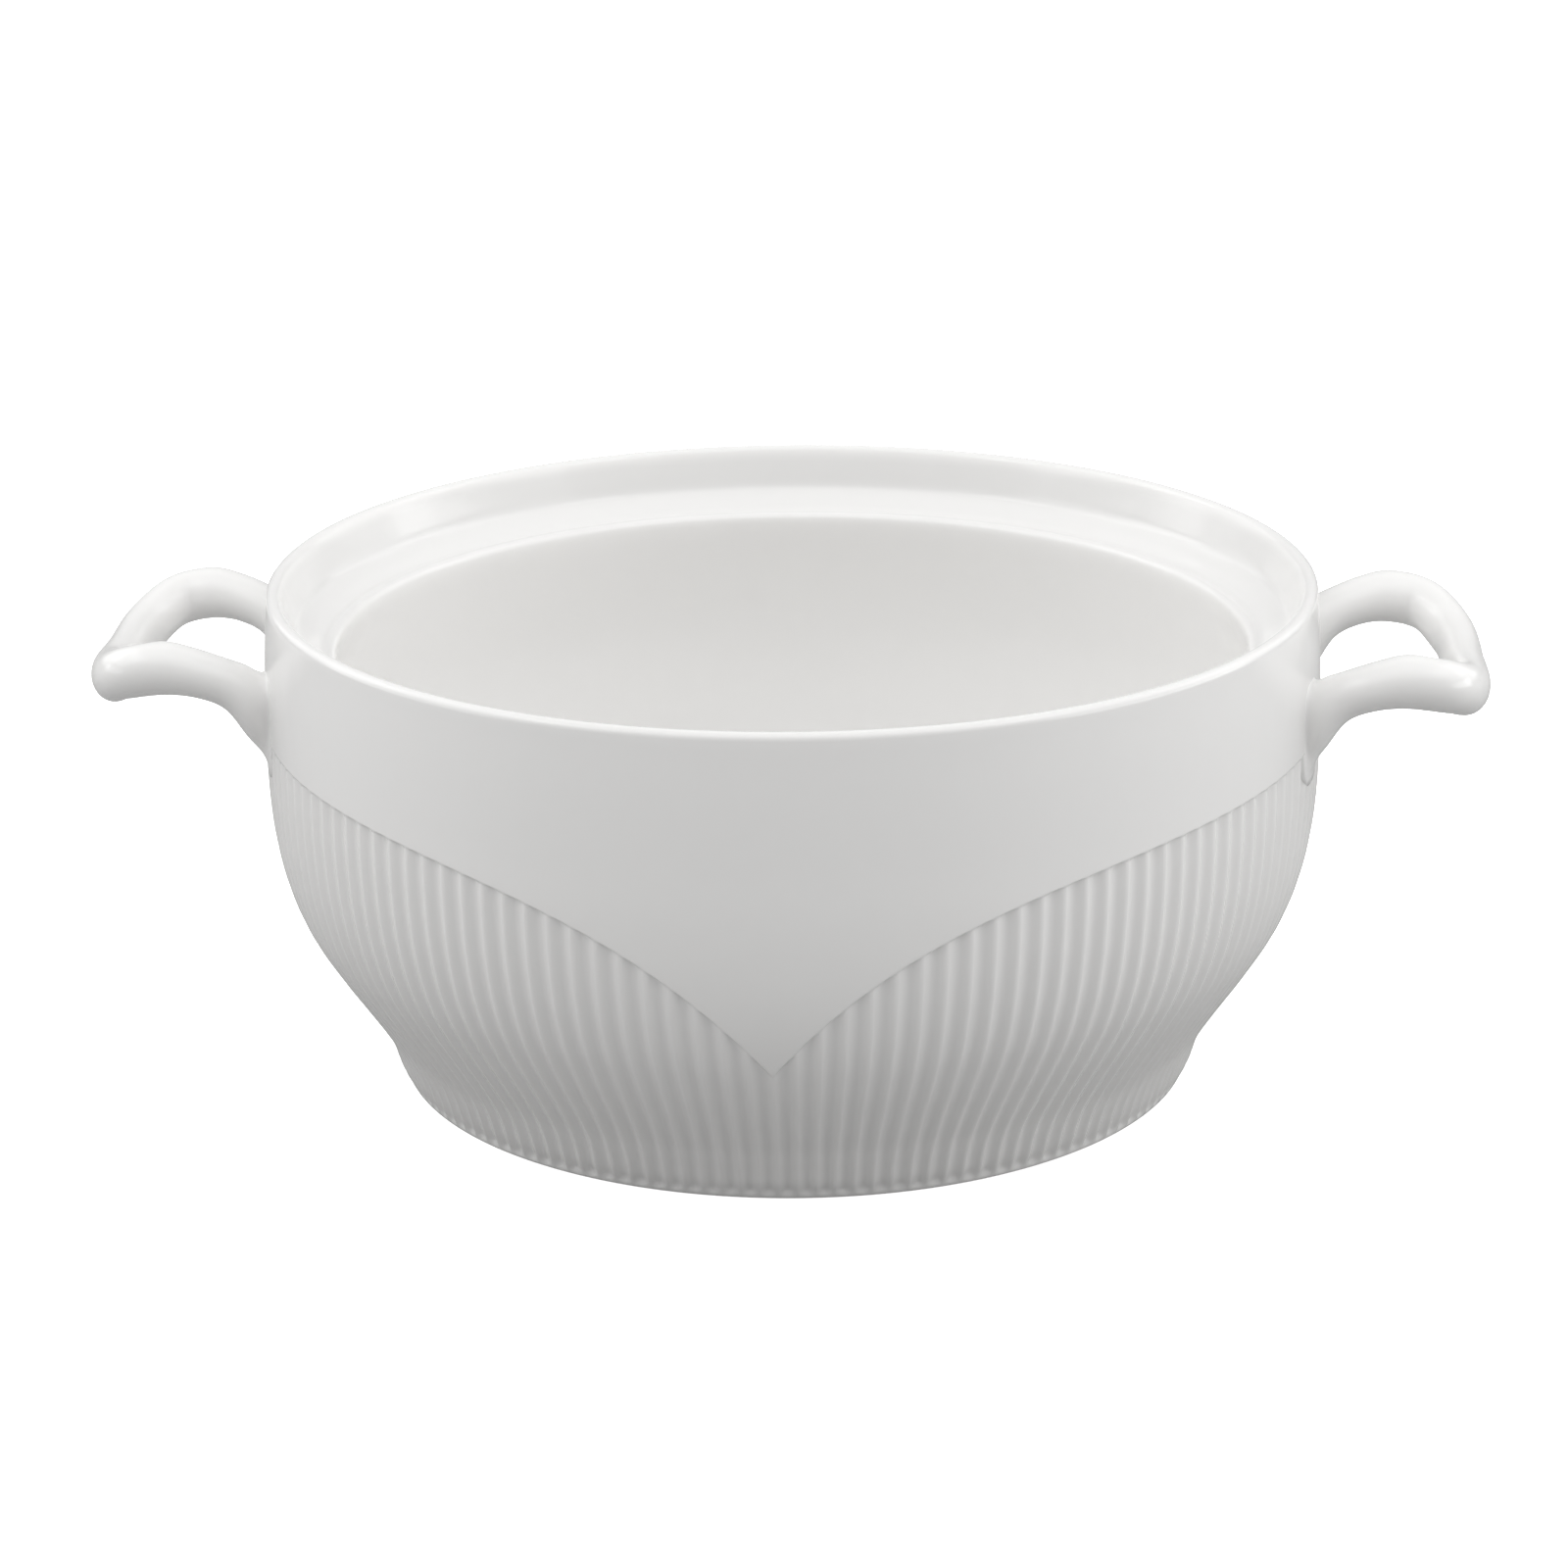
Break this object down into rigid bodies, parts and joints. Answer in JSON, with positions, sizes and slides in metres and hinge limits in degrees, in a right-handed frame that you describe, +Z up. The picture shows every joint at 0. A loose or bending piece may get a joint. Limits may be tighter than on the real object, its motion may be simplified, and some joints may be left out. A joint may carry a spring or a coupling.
{
  "type": "casserole dish",
  "caption": "Round white porcelain casserole dish with a fluted lower wall, a smooth collar that dips to a point, an inner lid seat, and loop handles.",
  "frame": {"origin": "on the table, at the middle of the foot ring", "axes": "+Z up out of the mouth, X along the line through both handles, -Y towards the front point of the collar"},
  "size_m": [0.3054, 0.2324, 0.1108],
  "materials": {
    "bowl_glaze": "gloss white glaze, bare on the foot ring",
    "handle_glaze": "gloss white glaze"
  },
  "bodies": {
    "root": {"bowl_body": "bowl_glaze", "left_handle": "handle_glaze", "right_handle": "handle_glaze"}
  },
  "joints": []
}
